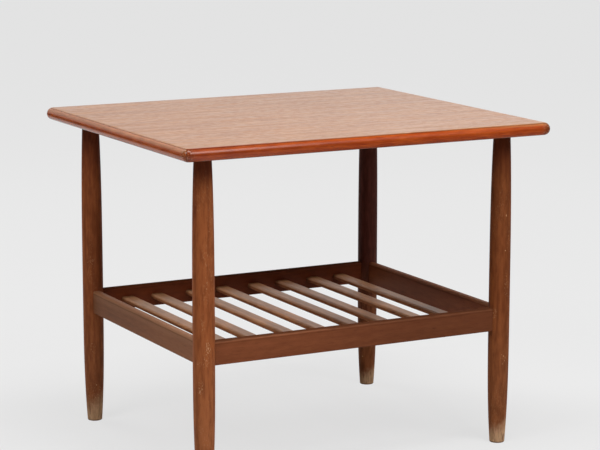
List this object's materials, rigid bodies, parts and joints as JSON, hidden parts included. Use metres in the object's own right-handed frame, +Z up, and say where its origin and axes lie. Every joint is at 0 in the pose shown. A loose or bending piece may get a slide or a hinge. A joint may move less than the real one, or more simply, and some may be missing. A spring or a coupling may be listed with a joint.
{
  "type": "occasional table",
  "caption": "Wooden coffee or side table: a veneered top with bullnosed lippings on turned, tapering legs, and a slatted magazine shelf carried by dowelled rails.",
  "frame": {"origin": "on the floor under the middle of the top", "axes": "+X along the long side, to the right seen from the front, +Y to the back, +Z up"},
  "size_m": [0.607, 0.52, 0.5],
  "materials": {
    "top_veneer": "oiled teak veneer, satin",
    "under_veneer": "plain balancing veneer, matt",
    "core_board": "raw board",
    "lipping": "oiled solid teak, satin",
    "leg": "oiled solid teak, worn at the feet",
    "rail": "oiled solid teak, worn along the upper edges",
    "slat": "dry, faded solid teak",
    "dowel": "raw beech"
  },
  "bodies": {
    "root": {"top_core": "core_board", "top_veneer": "top_veneer", "under_veneer": "under_veneer", "lipping_front": "lipping", "lipping_back": "lipping", "lipping_left": "lipping", "lipping_right": "lipping", "leg_front_left": "leg", "leg_front_right": "leg", "leg_back_left": "leg", "leg_back_right": "leg", "rail_front": "rail", "rail_back": "rail", "rail_left": "rail", "rail_right": "rail", "slat_1": "slat", "slat_2": "slat", "slat_3": "slat", "slat_4": "slat", "slat_5": "slat", "slat_6": "slat", "slat_7": "slat", "slat_8": "slat", "dowel_front_left_low": "dowel", "dowel_front_left_high": "dowel", "dowel_front_right_low": "dowel", "dowel_front_right_high": "dowel", "dowel_back_left_low": "dowel", "dowel_back_left_high": "dowel", "dowel_back_right_low": "dowel", "dowel_back_right_high": "dowel", "dowel_left_front_low": "dowel", "dowel_left_front_high": "dowel", "dowel_left_back_low": "dowel", "dowel_left_back_high": "dowel", "dowel_right_front_low": "dowel", "dowel_right_front_high": "dowel", "dowel_right_back_low": "dowel", "dowel_right_back_high": "dowel"}
  },
  "joints": []
}
